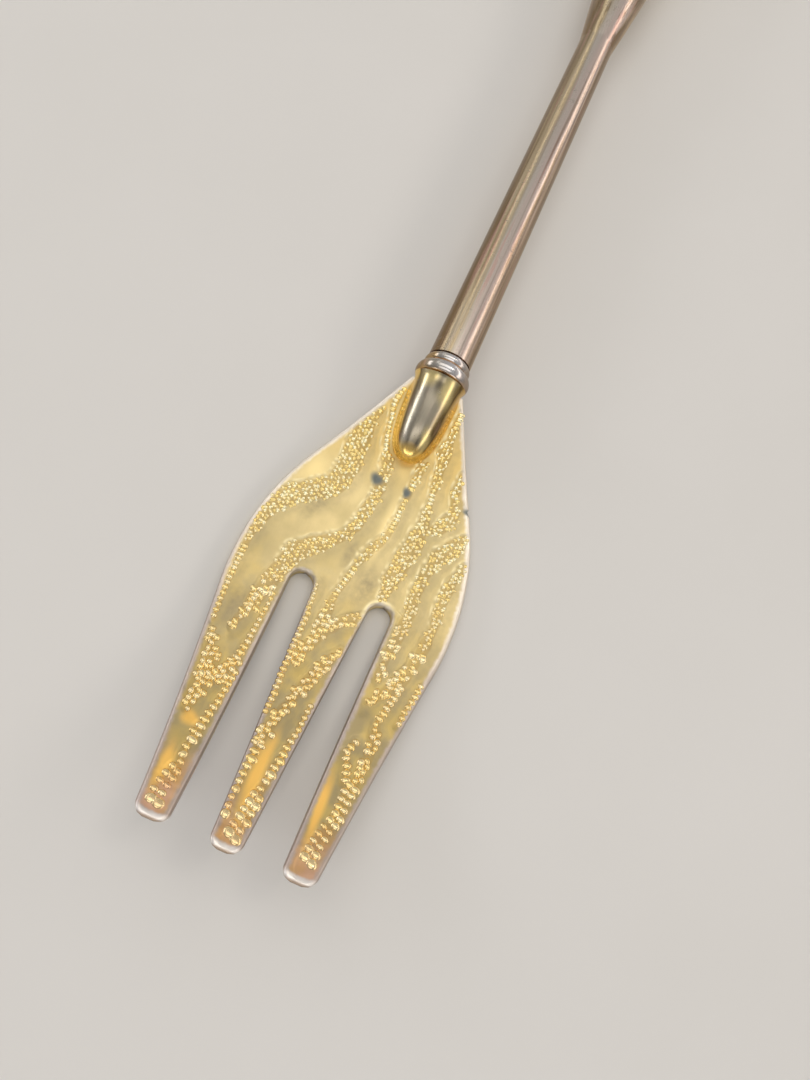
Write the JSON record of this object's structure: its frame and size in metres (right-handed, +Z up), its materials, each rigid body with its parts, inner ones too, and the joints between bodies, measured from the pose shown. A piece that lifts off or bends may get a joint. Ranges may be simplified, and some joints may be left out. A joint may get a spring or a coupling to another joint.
{
  "type": "oyster fork",
  "caption": "Small gilt serving fork with broad blunt tines on a patterned head, a beaded collar, a slender round shank and a hollow flared handle",
  "frame": {"origin": "under the middle of the fork's length and width, on the surface that it lies on", "axes": "+X towards the tips of the tines, +Z up out of the patterned face, +Y across"},
  "size_m": [0.1501, 0.0192, 0.0074],
  "materials": {
    "struck_gilt": "struck wavy bands and stipple, gilt, worn silver at the edges",
    "pale_gilt": "polished, thinly gilt",
    "worn_silver": "polished, gilding worn to silver",
    "polished_gilt": "polished gilt",
    "setting_pitch": "dull setting pitch, hidden inside the handle"
  },
  "bodies": {
    "root": {"fork_head": "struck_gilt", "bolster": "pale_gilt", "large_bead": "worn_silver", "small_bead": "worn_silver", "shank": "polished_gilt", "handle_shell": "polished_gilt", "handle_filling": "setting_pitch", "end_cap": "polished_gilt"}
  },
  "joints": []
}
